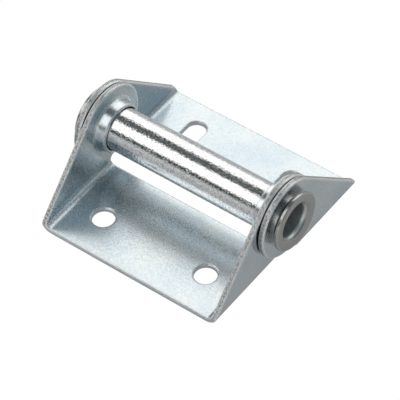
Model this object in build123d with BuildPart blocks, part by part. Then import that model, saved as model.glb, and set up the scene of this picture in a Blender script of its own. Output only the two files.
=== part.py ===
"""Garage door hinge: two folded sheet-steel leaves that turn on one flared tube.

The origin is the middle of the tube's axis. X runs along the tube, the front leaf reaches
towards -Y and the rear leaf towards +Y, and both plates lie flat below the tube.
"""
from build123d import *
import math
import os

# Sheet of both leaves, mm
sheet = 2.0                  # thickness
bend_inside = 2.0            # radius inside each fold
edge_break = 0.35            # chamfer along the cut edges

# Both leaves
axis_height = 17.0           # tube's axis above the top of the plates
knuckle_radius = 14.0        # round end of each cheek, about the tube's axis
corner_radius = 2.0          # rounding of each cheek where its slope ends, at the plate's outer edge
throat_radius = 1.6          # hollow between the knuckle and the plate's inner edge

# Front leaf, the narrow one
front_width = 70.0           # over the outside of its cheeks
front_reach = 36.0           # tube's axis to the plate's outer edge
front_setback = 2.0          # tube's axis to the plate's inner edge
front_edge_height = 2.8      # of a cheek at the plate's outer edge
hole_diameter = 7.7          # screw holes
hole_spacing = 41.0
hole_row = 22.0              # tube's axis to the row of holes

# Collars drawn inwards from the front cheeks round the tube
collar_wall = 0.8            # at the collar's mouth, where drawing has thinned it
collar_base = 1.5            # its wall at the cheek
collar_height = 4.0          # above the cheek's inner face
collar_root = 0.6            # chamfer in the corner where a collar rises from its cheek
drawn_mouth = 1.0            # chamfer from the cheek's outer face into the collar

# Rear leaf, the wide one, its cheeks outside the front leaf's
side_play = 0.5              # between a front cheek and the rear cheek beside it
rear_reach = 36.0
rear_setback = 4.0
rear_edge_height = 3.6
slot_width = 7.0             # screw slots, along Y, so that the leaf can be shifted
slot_length = 14.0
slot_spacing = 38.5
slot_row = 22.0

# Tube, the hinge pin and the bearing of a roller's shaft
tube_bore = 12.0
tube_wall = 1.5
tube_play = 0.4              # all round, in the collars and in the rear cheeks
flare_radius = 1.25          # of the middle of the wall where each end turns outwards
end_play = 1.2               # from each rear cheek to the flare beside it
flare_diameter = 20.7        # over the rim of each end

# Sizes that follow
floor = -axis_height - sheet
rear_width = front_width + 2 * (side_play + sheet)
tube_radius = tube_bore / 2 + tube_wall
cheek_hole_radius = tube_radius + tube_play
front_inner_face = front_width / 2 - sheet
collar_radius = cheek_hole_radius + collar_wall
base_radius = cheek_hole_radius + collar_base
flare_face = rear_width / 2 + end_play


def folded_sheet(width, start, end):
    """Sheet folded into a channel along Y, its cheeks as high as the knuckles need."""
    half, top = width / 2, knuckle_radius + sheet
    with BuildPart() as channel:
        with BuildSketch(Plane.XZ.offset(-start)):
            with BuildLine():
                FilletPolyline(
                    (-half, top), (-half, floor), (half, floor), (half, top), radius=bend_inside + sheet
                )
                offset(amount=sheet, side=Side.LEFT)
            make_face()
        extrude(amount=start - end)
    return channel.part


def side_outline(width, reach, setback, edge_height):
    """Outline of a leaf seen along the tube, drawn beside the leaf of that width.

    The leaf reaches towards +Y where the reach is positive, and towards -Y where it is negative.
    """
    corner = (reach, floor + edge_height)
    throat = (setback, -math.sqrt(knuckle_radius**2 - setback**2))
    with BuildSketch(Plane.YZ.offset(-width)) as outline:
        with BuildLine():
            knuckle = CenterArc((0, 0), knuckle_radius, 0, 360, mode=Mode.PRIVATE)
            slope = ConstrainedLines(
                knuckle.edge(), corner, selector=lambda tangents: tangents.sort_by(Axis.Y)[-1]
            )
            Polyline(slope @ 0, (0, 0), (setback, 0), (setback, floor), (reach, floor), corner)
        make_face()
        fillet(outline.vertices().sort_by_distance(corner)[0], corner_radius)
        Circle(knuckle_radius)
        fillet(outline.vertices().sort_by_distance(throat)[0], throat_radius)
    return outline.sketch


def cut_edges(leaf):
    """Edges of a plain leaf that the press cut, without the lines where flats run into folds."""
    folds = leaf.edges().filter_by(Axis.Y)
    joins = leaf.edges().filter_by(Axis.X).filter_by(lambda edge: edge.length < 2 * sheet)
    return [edge for edge in leaf.edges() if edge not in folds + joins]


def rings(leaf, radius, distance):
    """Circular edges of this radius about the tube's axis, at this distance from its middle."""
    return leaf.edges().filter_by(GeomType.CIRCLE).filter_by(
        lambda edge: math.isclose(edge.radius, radius, abs_tol=1e-4)
        and math.isclose(abs(edge.arc_center.X), distance, abs_tol=1e-4)
    )


with BuildPart() as front_leaf:
    add(folded_sheet(front_width, -front_reach - sheet, knuckle_radius + sheet))
    extrude(side_outline(front_width, -front_reach, -front_setback, front_edge_height),
            amount=2 * front_width, dir=(1, 0, 0), mode=Mode.INTERSECT)
    chamfer(cut_edges(front_leaf), edge_break)

    # Screw holes
    with Locations((0, -hole_row, -axis_height)):
        with GridLocations(hole_spacing, 1, 2, 1):
            Hole(hole_diameter / 2)
    chamfer(front_leaf.edges(Select.LAST).filter_by(GeomType.CIRCLE), edge_break)

    # Collars, drawn out of the cheeks round the tube's holes
    with BuildSketch():
        with BuildLine():
            mouth, bend = front_inner_face - collar_height, front_inner_face + sheet / 2
            Polyline(
                (mouth, cheek_hole_radius), (mouth, collar_radius), (front_inner_face, base_radius),
                (bend, base_radius), (bend, cheek_hole_radius), close=True
            )
        make_face()
        mirror(about=Plane.YZ)
    revolve(axis=Axis.X)
    with Locations(Plane.YZ.offset(front_width / 2)):
        Hole(cheek_hole_radius)
    chamfer(rings(front_leaf, base_radius, front_inner_face), collar_root)
    chamfer(rings(front_leaf, cheek_hole_radius, front_width / 2), drawn_mouth)
    chamfer(rings(front_leaf, collar_radius, front_inner_face - collar_height), edge_break)

with BuildPart() as rear_leaf:
    add(folded_sheet(rear_width, -knuckle_radius - sheet, rear_reach + sheet))
    extrude(side_outline(rear_width, rear_reach, rear_setback, rear_edge_height),
            amount=2 * rear_width, dir=(1, 0, 0), mode=Mode.INTERSECT)
    chamfer(cut_edges(rear_leaf), edge_break)

    # Screw slots
    with BuildSketch(Plane.XY.offset(-axis_height)):
        with Locations((0, slot_row)):
            with GridLocations(slot_spacing, 1, 2, 1):
                SlotOverall(slot_length, slot_width, rotation=90)
    extrude(amount=-sheet, mode=Mode.SUBTRACT)
    chamfer(rear_leaf.edges(Select.LAST).filter_by(Axis.Z, reverse=True), edge_break)

    # Holes for the tube
    with Locations(Plane.YZ.offset(rear_width / 2)):
        Hole(cheek_hole_radius)
    chamfer(rear_leaf.edges(Select.LAST).filter_by(GeomType.CIRCLE), edge_break)

with BuildPart() as tube:
    with BuildSketch() as section:
        with BuildLine():
            flare_start = flare_face - flare_radius + tube_wall / 2
            bore_side = JernArc((flare_start, tube_bore / 2), (1, 0), flare_radius + tube_wall / 2, 90)
            cheek_side = JernArc((flare_start, tube_radius), (1, 0), flare_radius - tube_wall / 2, 90)
            rim = Line(((bore_side @ 1).X, flare_diameter / 2), ((cheek_side @ 1).X, flare_diameter / 2))
            Line(bore_side @ 1, rim @ 0)
            Line(rim @ 1, cheek_side @ 1)
            Polyline(cheek_side @ 0, (0, tube_radius), (0, tube_bore / 2), bore_side @ 0)
        make_face()
        chamfer(section.vertices().group_by(Axis.Y)[-1], edge_break)
        mirror(about=Plane.YZ)
    revolve(axis=Axis.X)

os.makedirs("parts", exist_ok=True)
for name, piece in (("front_leaf", front_leaf), ("rear_leaf", rear_leaf), ("tube", tube)):
    piece.part.label = name
    export_step(piece.part, f"parts/{name}.step")
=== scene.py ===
"""Garage door hinge: the studio, and the finish of its zinc-plated leaves and drawn steel tube.

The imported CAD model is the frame. X runs along the tube, the front leaf reaches towards -Y,
and both plates lie flat.
"""
import bmesh
import bpy
import math
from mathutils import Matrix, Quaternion, Vector


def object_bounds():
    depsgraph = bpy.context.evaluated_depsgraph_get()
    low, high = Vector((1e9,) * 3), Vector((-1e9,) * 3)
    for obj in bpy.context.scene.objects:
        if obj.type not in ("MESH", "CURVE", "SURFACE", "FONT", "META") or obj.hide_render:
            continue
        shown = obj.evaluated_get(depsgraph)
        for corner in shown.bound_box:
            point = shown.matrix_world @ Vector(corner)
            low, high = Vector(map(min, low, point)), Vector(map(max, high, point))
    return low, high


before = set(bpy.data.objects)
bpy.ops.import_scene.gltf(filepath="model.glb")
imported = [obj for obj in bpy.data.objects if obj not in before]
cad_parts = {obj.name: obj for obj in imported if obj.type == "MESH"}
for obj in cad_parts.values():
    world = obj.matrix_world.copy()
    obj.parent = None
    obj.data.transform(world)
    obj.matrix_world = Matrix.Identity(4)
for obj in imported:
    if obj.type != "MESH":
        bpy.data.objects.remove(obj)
cad_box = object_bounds()

# Camera. The photograph was taken from the front right with a long lens, looking down at
# about 48 degrees. Its place was fitted to the hinge's own edges, holes and tube.
camera_place = Vector((0.354282, -0.421881, 0.611820))
camera_target = Vector((0.006085, -0.005091, -0.007034))
camera_roll = math.radians(-3.72)

camera_data = bpy.data.cameras.new("camera")
camera_data.sensor_width = 36
camera_data.lens = 234
camera_data.clip_start = 0.01
camera_data.clip_end = 50
camera = bpy.data.objects.new("camera", camera_data)
bpy.context.collection.objects.link(camera)
camera.location = camera_place
camera.rotation_mode = "QUATERNION"
aim = (camera_target - camera_place).to_track_quat("-Z", "Y")
camera.rotation_quaternion = aim @ Quaternion((0, 0, 1), camera_roll)
bpy.context.scene.camera = camera
bpy.context.scene.view_settings.view_transform = "Standard"


# Studio. A tent of lit white cloth stands over the hinge. Dark cards along it leave two long
# light bands and a dark side at the right, which the tube and the leaves mirror. A white card
# low at the front right lights the cut edges.
def new_material(name):
    """Empty material, and its node tree."""
    material = bpy.data.materials.new(name)
    material.use_nodes = True
    material.node_tree.nodes.clear()
    return material, material.node_tree


def add_node(tree, kind, spot, **settings):
    """Shader node of this kind, with its settings or the values of its inputs."""
    node = tree.nodes.new(kind)
    node.location = spot
    for name, value in settings.items():
        if hasattr(node, name) and name not in node.inputs:
            setattr(node, name, value)
        else:
            node.inputs[name].default_value = value
    return node


def feed(tree, socket, given):
    """Links an output to an input, or sets the input to a number or a colour."""
    if isinstance(given, bpy.types.NodeSocket):
        tree.links.new(given, socket)
    elif socket.type == "RGBA":
        socket.default_value = (*given, 1)
    else:
        socket.default_value = given


def work_out(tree, spot, operation, *terms, **settings):
    """Output of a Math node on outputs or numbers."""
    node = add_node(tree, "ShaderNodeMath", spot, operation=operation, **settings)
    for socket, term in zip(node.inputs, terms):
        feed(tree, socket, term)
    return node.outputs[0]


def map_range(tree, spot, given, low, high, from_low=0.0, from_high=1.0):
    """Output of a Map Range node that turns the second range into the first, and clamps."""
    node = add_node(tree, "ShaderNodeMapRange", spot)
    feed(tree, node.inputs["Value"], given)
    node.inputs["From Min"].default_value = from_low
    node.inputs["From Max"].default_value = from_high
    node.inputs["To Min"].default_value = low
    node.inputs["To Max"].default_value = high
    return node.outputs[0]


def colour_ramp(tree, spot, given, stops):
    """Output of a colour ramp with these stops, each a position and a colour."""
    node = add_node(tree, "ShaderNodeValToRGB", spot)
    feed(tree, node.inputs[0], given)
    elements = node.color_ramp.elements
    while len(elements) < len(stops):
        elements.new(1.0)
    for element, (position, colour) in zip(elements, stops):
        element.position = position
        element.color = (*colour, 1)
    return node.outputs["Color"]


def blend(tree, spot, kind, amount, first, second):
    """Output of a Mix node of this kind, on outputs, colours or numbers."""
    node = add_node(tree, "ShaderNodeMix", spot, data_type=kind)
    for name, given in (("Factor", amount), ("A", first), ("B", second)):
        feed(tree, node.inputs[name], given)
    return node.outputs["Result"]


tent_radius = 2.0
# Brightness by the angle round the tube, from the rear horizon over the top to the front
rear_cloth = (1.49, 1.48, 1.45)
thin_cloth = (1.38, 1.38, 1.36)
front_cloth = (1.49, 1.49, 1.48)
dark_card = (0.08, 0.09, 0.09)
light_bands = (
    (-10, (0.30, 0.31, 0.32)), (5, (0.36, 0.38, 0.39)), (18, (1.10, 1.12, 1.14)),
    (28, rear_cloth), (40, rear_cloth), (46, thin_cloth), (53, thin_cloth),
    (57, rear_cloth), (60, rear_cloth), (64, (0.12, 0.13, 0.135)), (99, (0.11, 0.12, 0.125)),
    (103, front_cloth), (142, front_cloth), (148, dark_card), (162, dark_card),
    (170, (0.60, 0.62, 0.63)),
)
first_angle, last_angle = -10, 190
# Cards at the right, by the reach along X, 1 at the tent's edge: how much they cover, and
# their brightness. Towards the front they cover more of the tent, as if that much were added.
card_cover = ((0.365, (0, 0, 0)), (0.395, (1, 1, 1)))
grey_card = (0.50, 0.58, 0.62)
card_colours = (
    (0.46, (0.10, 0.135, 0.155)), (0.52, grey_card), (0.60, grey_card), (0.68, (0.20, 0.24, 0.26)),
)
card_spread = 0.40
spread_angles = (57, 66)
# The white card starts at these angles, and ends at these reaches
white_card = (1.50, 1.50, 1.47)
white_card_angles = (136, 144)
white_card_end = (0.30, 0.36)
# A ramp's colours stop at 1, so the brightnesses are divided by the lamp's strength
lamp_strength = 1.5


def dimmed(colour):
    """Colour that gives this brightness at the lamp's strength."""
    return tuple(channel / lamp_strength for channel in colour)


def in_radians(angles):
    """These angles in radians."""
    return [math.radians(angle) for angle in angles]


tent_foot = -0.01        # the shell is cut off below this height, m
shell = bmesh.new()
bmesh.ops.create_uvsphere(shell, u_segments=64, v_segments=32, radius=tent_radius)
under = [corner for corner in shell.verts if corner.co.z < tent_foot]
bmesh.ops.delete(shell, geom=under, context="VERTS")
tent_mesh = bpy.data.meshes.new("light_tent")
shell.to_mesh(tent_mesh)
shell.free()
tent = bpy.data.objects.new("light_tent", tent_mesh)
bpy.context.collection.objects.link(tent)
tent.visible_camera = False
cloth, tree = new_material("lit_cloth_and_black_cards")
link = tree.links.new
coordinates = add_node(tree, "ShaderNodeTexCoord", (-1400, 0))
parts = add_node(tree, "ShaderNodeSeparateXYZ", (-1200, 0))
link(coordinates.outputs["Object"], parts.inputs[0])
angle = work_out(tree, (-1000, 0), "ARCTAN2", parts.outputs["Z"], parts.outputs["Y"])
share = map_range(tree, (-800, 0), angle, 0.0, 1.0, *in_radians((first_angle, last_angle)))
bands = colour_ramp(tree, (-600, 0), share, [
    ((degrees - first_angle) / (last_angle - first_angle), dimmed(colour))
    for degrees, colour in light_bands
])
reach = work_out(tree, (-1000, -250), "DIVIDE", parts.outputs["X"], tent_radius)
spread = map_range(tree, (-1000, -450), angle, 0.0, card_spread, *in_radians(spread_angles))
over = work_out(tree, (-800, -300), "ADD", reach, spread)
cover = colour_ramp(tree, (-600, -250), over, card_cover)
cards = colour_ramp(tree, (-600, -500), reach, [
    (position, dimmed(colour)) for position, colour in card_colours
])
low_down = map_range(tree, (-800, -750), angle, 0.0, 1.0, *in_radians(white_card_angles))
inner = map_range(tree, (-800, -1000), reach, 1.0, 0.0, *white_card_end)
white_part = work_out(tree, (-600, -800), "MULTIPLY", low_down, inner)
all_cards = blend(tree, (-350, -500), "RGBA", white_part, cards, dimmed(white_card))
inside_tent = blend(tree, (-200, 0), "RGBA", cover, bands, all_cards)
lamp = add_node(tree, "ShaderNodeEmission", (0, 0), Strength=lamp_strength)
out = add_node(tree, "ShaderNodeOutputMaterial", (200, 0))
link(inside_tent, lamp.inputs["Color"])
link(lamp.outputs[0], out.inputs[0])
tent.data.materials.append(cloth)

world = bpy.data.worlds.new("white_room")
bpy.context.scene.world = world
world.use_nodes = True
world.node_tree.nodes["Background"].inputs["Color"].default_value = (1, 1, 1, 1)
world.node_tree.nodes["Background"].inputs["Strength"].default_value = 1.0


# Floor: a sheet of white paper, too bright to show a shadow. It lies as far below the hinge as
# the rear leaf swings down. To the camera it is pure white, and the metal mirrors it darker.
leaf_swing = 0.011
paper_grey = (0.48, 0.48, 0.48, 1)
paper_strength = 1.02
mirrored_white = 0.22        # share of the pure white that the metal mirrors
bpy.ops.mesh.primitive_plane_add(size=2 * tent_radius, location=(0, 0, cad_box[0][2] - leaf_swing))
floor = bpy.context.object
floor.name = "floor"
paper, tree = new_material("white_paper")
link = tree.links.new
shade = add_node(tree, "ShaderNodeBsdfDiffuse", (0, 0), Color=paper_grey)
white = add_node(tree, "ShaderNodeEmission", (0, -200), Color=(1, 1, 1, 1), Strength=paper_strength)
rays = add_node(tree, "ShaderNodeLightPath", (-200, 500))
looked_at = work_out(
    tree, (0, 400), "MULTIPLY_ADD",
    rays.outputs["Is Glossy Ray"], mirrored_white, rays.outputs["Is Camera Ray"]
)
seen = work_out(
    tree, (200, 300), "ADD", looked_at, rays.outputs["Is Transmission Ray"], use_clamp=True
)
which = add_node(tree, "ShaderNodeMixShader", (400, 0))
out = add_node(tree, "ShaderNodeOutputMaterial", (600, 0))
link(seen, which.inputs[0])
link(shade.outputs[0], which.inputs[1])
link(white.outputs[0], which.inputs[2])
link(which.outputs[0], out.inputs[0])
floor.data.materials.append(paper)


# Leaves. Cold-rolled steel sheet, cut, pierced and folded, then tumbled and zinc-plated with a
# clear blue finish. Its fine grain and its corners, worn by tumbling and painted bright as a
# highlight, show on the tube too, so each is a group of its own, and the sheet adds a faint
# drifting tint and dull sheared edges.
def new_group(name, sockets):
    """Empty shader group with these sockets, each its direction, name, kind and starting value."""
    group = bpy.data.node_groups.new(name, "ShaderNodeTree")
    for way, label, kind, start in sockets:
        socket = group.interface.new_socket(label, in_out=way, socket_type=kind)
        if start is not None:
            socket.default_value = start
    given = add_node(group, "NodeGroupInput", (-900, 0))
    result = add_node(group, "NodeGroupOutput", (500, 0))
    return group, given, result


plating_grain, given, result = new_group("plating_grain", (
    ("INPUT", "Scale", "NodeSocketFloat", 1800.0),
    ("INPUT", "Depth", "NodeSocketFloat", 0.00002),
    ("INPUT", "Normal", "NodeSocketVector", None),
    ("OUTPUT", "Grain", "NodeSocketFloat", None),
    ("OUTPUT", "Normal", "NodeSocketVector", None),
))
link = plating_grain.links.new
coordinates = add_node(plating_grain, "ShaderNodeTexCoord", (-700, 200))
noise = add_node(plating_grain, "ShaderNodeTexNoise", (-450, 150), Detail=1.0, Roughness=0.5)
link(coordinates.outputs["Object"], noise.inputs["Vector"])
link(given.outputs["Scale"], noise.inputs["Scale"])
sharper = map_range(plating_grain, (-200, 150), noise.outputs["Fac"], 0.0, 1.0, 0.3, 0.7)
bump = add_node(plating_grain, "ShaderNodeBump", (100, -100), Strength=1.0)
link(sharper, bump.inputs["Height"])
link(given.outputs["Depth"], bump.inputs["Distance"])
link(given.outputs["Normal"], bump.inputs["Normal"])
link(sharper, result.inputs["Grain"])
link(bump.outputs[0], result.inputs["Normal"])

# A corner shows where the rounded normal turns from the face's own, told by their dot product; this
# mask carries a painted highlight
tumbled_corner_highlights, given, result = new_group("tumbled_corner_highlights", (
    ("INPUT", "Radius", "NodeSocketFloat", 0.0004),
    ("OUTPUT", "Corner", "NodeSocketFloat", None),
    ("OUTPUT", "Normal", "NodeSocketVector", None),
))
link = tumbled_corner_highlights.links.new
rounded = add_node(tumbled_corner_highlights, "ShaderNodeBevel", (-600, 0))
face = add_node(tumbled_corner_highlights, "ShaderNodeNewGeometry", (-600, -200))
likeness = add_node(tumbled_corner_highlights, "ShaderNodeVectorMath", (-350, -100), operation="DOT_PRODUCT")
link(given.outputs["Radius"], rounded.inputs["Radius"])
link(rounded.outputs[0], likeness.inputs[0])
link(face.outputs["Normal"], likeness.inputs[1])
corner = map_range(tumbled_corner_highlights, (-100, -100), likeness.outputs["Value"], 1.0, 0.0, 0.90, 0.997)
link(corner, result.inputs["Corner"])
link(rounded.outputs[0], result.inputs["Normal"])


def place_group(tree, group, spot, **values):
    """Puts a group into a material, with its own values."""
    node = add_node(tree, "ShaderNodeGroup", spot, node_tree=group)
    for name, value in values.items():
        node.inputs[name].default_value = value
    return node


def axis_distance(tree, spot, position):
    """Output with the distance from the tube's axis."""
    x, y = spot
    flat = add_node(tree, "ShaderNodeVectorMath", spot, operation="MULTIPLY")
    flat.inputs[1].default_value = (0, 1, 1)
    length = add_node(tree, "ShaderNodeVectorMath", (x + 200, y), operation="LENGTH")
    tree.links.new(position, flat.inputs[0])
    tree.links.new(flat.outputs[0], length.inputs[0])
    return length.outputs["Value"]


# Sizes in m, each where an effect starts and where it is full
past_collars = (0.0105, 0.0110)          # from the tube's axis
above_plate = (-0.0168, -0.0150)         # in Z
rear_leaf_side = (0.0352, 0.0354)        # in X, in the gap between the two leaves' cheeks
rear_leaf_end = (-0.001, 0.001)          # in Y
# Share of X in a face's normal: next to none on a sheared edge, about 0.7 on the chamfer
# beside it, and 1 on a cheek
edge_share = (0.05, 0.35)
chamfer_share = ((0.36, (0, 0, 0)), (0.45, (1, 1, 1)), (0.85, (1, 1, 1)), (0.94, (0, 0, 0)))
zinc_tints = ((0.30, (0.58, 0.66, 0.71)), (0.50, (0.65, 0.71, 0.74)), (0.72, (0.71, 0.74, 0.74)))
torn_dark, torn_light = (0.20, 0.21, 0.20), (0.62, 0.63, 0.62)
# Corners and chamfers are painted white: partly tumbling wear, partly a painted highlight
worn_highlight_white = (1.0, 1.0, 1.0)
zinc_gloss = (0.175, 0.285)
cut_roughness, worn_highlight_roughness = 0.40, 0.30
face_depth, edge_depth = 0.000004, 0.0001
# No flat is quite square, which shows in what it mirrors: the rear leaf's cheeks lean outwards
# by seven degrees, as sheet springs back after the fold, the front leaf's lean in by three, and
# its plate dips three degrees to the rear. These are the tangents.
front_cheek_lean, rear_cheek_lean = -0.052, 0.122
front_plate_dip = 0.05

zinc, tree = new_material("zinc_plated_sheet")
link = tree.links.new
coordinates = add_node(tree, "ShaderNodeTexCoord", (-1800, 0))
position = add_node(tree, "ShaderNodeSeparateXYZ", (-1500, 0))
facing = add_node(tree, "ShaderNodeSeparateXYZ", (-1500, 150))
link(coordinates.outputs["Object"], position.inputs[0])
link(coordinates.outputs["Normal"], facing.inputs[0])
corners = place_group(tree, tumbled_corner_highlights, (-1500, -300), Radius=0.0009)
grain = place_group(tree, plating_grain, (-1200, -300), Scale=1800.0)

# Edges: outside the collars and above the plate
sideways = work_out(tree, (-1300, 150), "ABSOLUTE", facing.outputs["X"])
sheared = map_range(tree, (-1100, 150), sideways, 1.0, 0.0, *edge_share)
chamfered = colour_ramp(tree, (-1100, 300), sideways, chamfer_share)
above = map_range(tree, (-1300, 0), position.outputs["Z"], 0.0, 1.0, *above_plate)
away = axis_distance(tree, (-1500, -150), coordinates.outputs["Object"])
outside = map_range(tree, (-1100, -150), away, 0.0, 1.0, *past_collars)
edge = work_out(tree, (-900, 100), "MULTIPLY", outside, above)
cut = work_out(tree, (-750, 100), "MULTIPLY", edge, sheared)
broken = work_out(tree, (-750, 250), "MULTIPLY", edge, chamfered)
# Painted highlight on the chamfers and corners, over their wear: they turn white and glossier below
worn_and_highlight = work_out(tree, (-600, 150), "MAXIMUM", broken, corners.outputs["Corner"])
rough_edge = work_out(tree, (-900, -500), "MAXIMUM", cut, worn_and_highlight)
link(blend(tree, (-700, -500), "FLOAT", rough_edge, face_depth, edge_depth), grain.inputs["Depth"])

# Colour and roughness
metal = add_node(tree, "ShaderNodeBsdfPrincipled", (0, 0), Metallic=1.0)
out = add_node(tree, "ShaderNodeOutputMaterial", (300, 0))
cloud = add_node(tree, "ShaderNodeTexNoise", (-1500, 400), Scale=60.0, Detail=3.0, Roughness=0.5)
link(coordinates.outputs["Object"], cloud.inputs["Vector"])
tint = colour_ramp(tree, (-1250, 400), cloud.outputs["Fac"], zinc_tints)
torn = blend(tree, (-900, 500), "RGBA", grain.outputs["Grain"], torn_dark, torn_light)
plated = blend(tree, (-600, 300), "RGBA", cut, tint, torn)
link(blend(tree, (-300, 300), "RGBA", worn_and_highlight, plated, worn_highlight_white), metal.inputs["Base Color"])
gloss = map_range(tree, (-900, -100), grain.outputs["Grain"], *zinc_gloss)
dull = blend(tree, (-600, 0), "FLOAT", cut, gloss, cut_roughness)
link(blend(tree, (-300, 0), "FLOAT", worn_and_highlight, dull, worn_highlight_roughness), metal.inputs["Roughness"])

# Lean of the flats. Where a cheek's normal points away from the tube's middle, a lean outwards
# turns it down, and on its other side up.
outwards = work_out(tree, (-1300, -650), "MULTIPLY", facing.outputs["X"], position.outputs["X"])
upwards = map_range(tree, (-1100, -650), outwards, 1.0, -1.0, -0.035, 0.035)
width = work_out(tree, (-1300, -850), "ABSOLUTE", position.outputs["X"])
cheek_lean = map_range(
    tree, (-1100, -850), width, front_cheek_lean, rear_cheek_lean, *rear_leaf_side
)
plate_dip = map_range(
    tree, (-1100, -1050), position.outputs["Y"], front_plate_dip, 0.0, *rear_leaf_end
)
lean = add_node(tree, "ShaderNodeCombineXYZ", (-700, -700))
link(work_out(tree, (-900, -700), "MULTIPLY", upwards, cheek_lean), lean.inputs["Z"])
link(work_out(tree, (-900, -950), "MULTIPLY", facing.outputs["Z"], plate_dip), lean.inputs["Y"])
turned = add_node(
    tree, "ShaderNodeVectorTransform", (-500, -700),
    vector_type="VECTOR", convert_from="OBJECT", convert_to="WORLD"
)
leaning = add_node(tree, "ShaderNodeVectorMath", (-300, -700), operation="ADD")
link(lean.outputs[0], turned.inputs[0])
link(corners.outputs["Normal"], leaning.inputs[0])
link(turned.outputs[0], leaning.inputs[1])
link(leaning.outputs[0], grain.inputs["Normal"])
link(grain.outputs["Normal"], metal.inputs["Normal"])
link(metal.outputs[0], out.inputs[0])
for leaf in ("front_leaf", "rear_leaf"):
    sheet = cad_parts[leaf]
    sheet.data.materials.clear()
    sheet.data.materials.append(zinc)


# Tube. Drawn steel, cut to length and flared over the rear leaf's cheeks once all is in place.
# It is plated like the leaves but smoother, dull and brownish where its ends were spun out,
# and the bath left its bore dull. Its rims and corners are painted near white as a highlight.
past_rear_cheeks = (0.0372, 0.0380)      # in X, m
bore_wall = (0.0061, 0.0066)             # from the tube's axis, m
drawn_dark, drawn_light = (0.56, 0.57, 0.58), (1.0, 1.0, 0.99)
spun_brown = (0.44, 0.43, 0.41)
bore_grey = (0.82, 0.84, 0.83)
rim_highlight = (0.92, 0.92, 0.91)
drawn_gloss, drawn_grain = (0.03, 0.24), (0.35, 0.75)
spun_roughness, bore_roughness = 0.20, 0.40

tube_steel, tree = new_material("drawn_tube_steel")
link = tree.links.new
coordinates = add_node(tree, "ShaderNodeTexCoord", (-1500, 0))
position = add_node(tree, "ShaderNodeSeparateXYZ", (-1300, 100))
link(coordinates.outputs["Object"], position.inputs[0])
along = work_out(tree, (-1100, 100), "ABSOLUTE", position.outputs["X"])
spun = map_range(tree, (-900, 100), along, 0.0, 1.0, *past_rear_cheeks)
away = axis_distance(tree, (-1300, -100), coordinates.outputs["Object"])
inside = map_range(tree, (-900, -100), away, 1.0, 0.0, *bore_wall)
corners = place_group(tree, tumbled_corner_highlights, (-1300, -350), Radius=0.00035)
grain = place_group(tree, plating_grain, (-1050, -350), Scale=1800.0, Depth=0.000023)
metal = add_node(tree, "ShaderNodeBsdfPrincipled", (0, 0), Metallic=1.0)
out = add_node(tree, "ShaderNodeOutputMaterial", (300, 0))
drawn = blend(tree, (-800, 400), "RGBA", grain.outputs["Grain"], drawn_dark, drawn_light)
ends = blend(tree, (-600, 300), "RGBA", spun, drawn, spun_brown)
bore = blend(tree, (-400, 300), "RGBA", inside, ends, bore_grey)
# Painted highlight: the tube's corners turn near white
steel = blend(tree, (-200, 300), "RGBA", corners.outputs["Corner"], bore, rim_highlight)
gloss = map_range(tree, (-850, -250), grain.outputs["Grain"], *drawn_gloss, *drawn_grain)
dull = blend(tree, (-600, 0), "FLOAT", spun, gloss, spun_roughness)
link(steel, metal.inputs["Base Color"])
link(blend(tree, (-400, 0), "FLOAT", inside, dull, bore_roughness), metal.inputs["Roughness"])
link(corners.outputs["Normal"], grain.inputs["Normal"])
link(grain.outputs["Normal"], metal.inputs["Normal"])
link(metal.outputs[0], out.inputs[0])
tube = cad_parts["tube"]
tube.data.materials.clear()
tube.data.materials.append(tube_steel)
